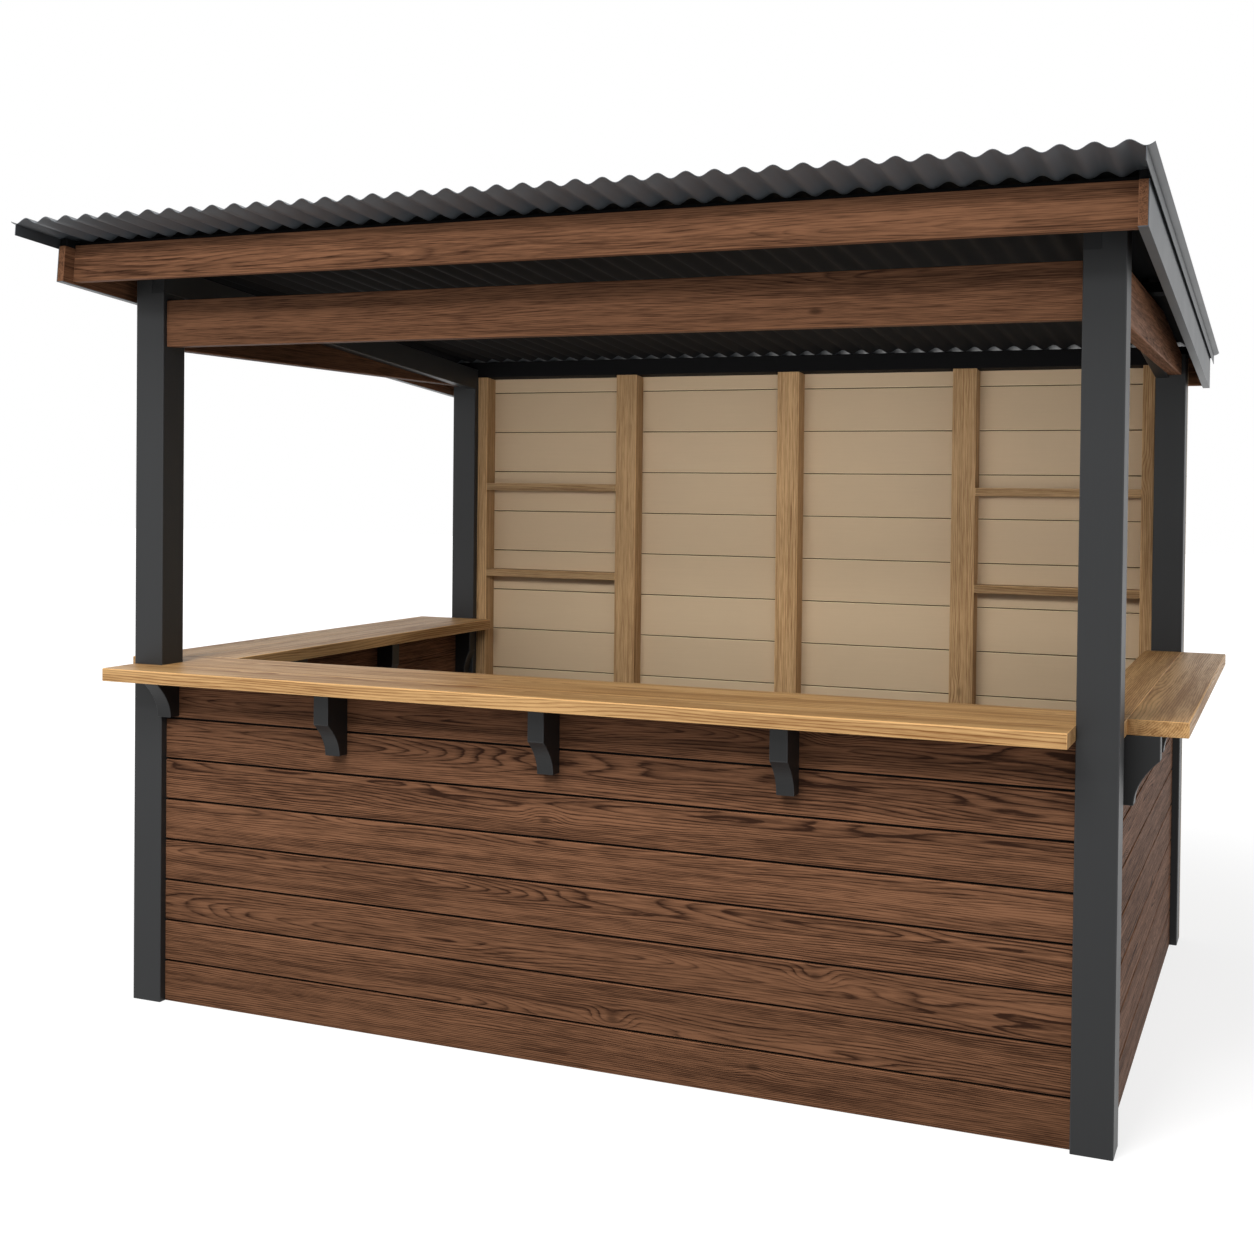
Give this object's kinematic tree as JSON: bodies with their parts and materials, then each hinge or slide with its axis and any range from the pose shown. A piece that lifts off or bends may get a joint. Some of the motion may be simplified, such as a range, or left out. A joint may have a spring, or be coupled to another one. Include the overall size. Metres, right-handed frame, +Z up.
{
  "type": "wooden market stall",
  "caption": "Open-fronted timber market stall with boarded half walls, plank counters on coved brackets, a shelved back wall and a corrugated mono-pitch roof.",
  "frame": {"origin": "on the ground under the middle of the roof", "axes": "+X along the front to the right, +Y to the back wall, +Z up"},
  "size_m": [3.3, 2.7292, 2.4064],
  "materials": {
    "charcoal_timber": "satin charcoal paint on planed timber",
    "walnut_boards": "dark walnut stain, fine brushed grain",
    "oak": "oiled oak",
    "tan_boards": "matt tan paint on flush boards",
    "roof_metal": "satin charcoal coated steel"
  },
  "bodies": {
    "root": {"post_front_left": "charcoal_timber", "post_front_right": "charcoal_timber", "post_back_left": "charcoal_timber", "post_back_right": "charcoal_timber", "left_rafter": "charcoal_timber", "right_rafter": "charcoal_timber", "front_brackets": "charcoal_timber", "left_outer_brackets": "charcoal_timber", "left_inner_brackets": "charcoal_timber", "right_outer_brackets": "charcoal_timber", "right_inner_brackets": "charcoal_timber", "front_purlin": "charcoal_timber", "middle_purlin": "charcoal_timber", "rear_purlin": "charcoal_timber", "front_beam": "walnut_boards", "left_beam": "walnut_boards", "right_beam": "walnut_boards", "front_wall": "walnut_boards", "left_wall": "walnut_boards", "right_wall": "walnut_boards", "front_fascia": "walnut_boards", "rear_fascia": "walnut_boards", "left_barge": "walnut_boards", "right_barge": "walnut_boards", "back_wall": "tan_boards", "back_stud_1": "oak", "back_stud_2": "oak", "back_stud_3": "oak", "back_stud_4": "oak", "back_stud_5": "oak", "shelf_left_upper": "oak", "shelf_left_lower": "oak", "shelf_right_upper": "oak", "shelf_right_lower": "oak", "front_counter_outer": "oak", "front_counter_inner": "oak", "left_counter_outer": "oak", "left_counter_inner": "oak", "right_counter_outer": "oak", "right_counter_inner": "oak", "left_barge_cover": "roof_metal", "right_barge_cover": "roof_metal", "roof_sheet": "roof_metal", "left_verge": "roof_metal", "right_verge": "roof_metal"}
  },
  "joints": []
}
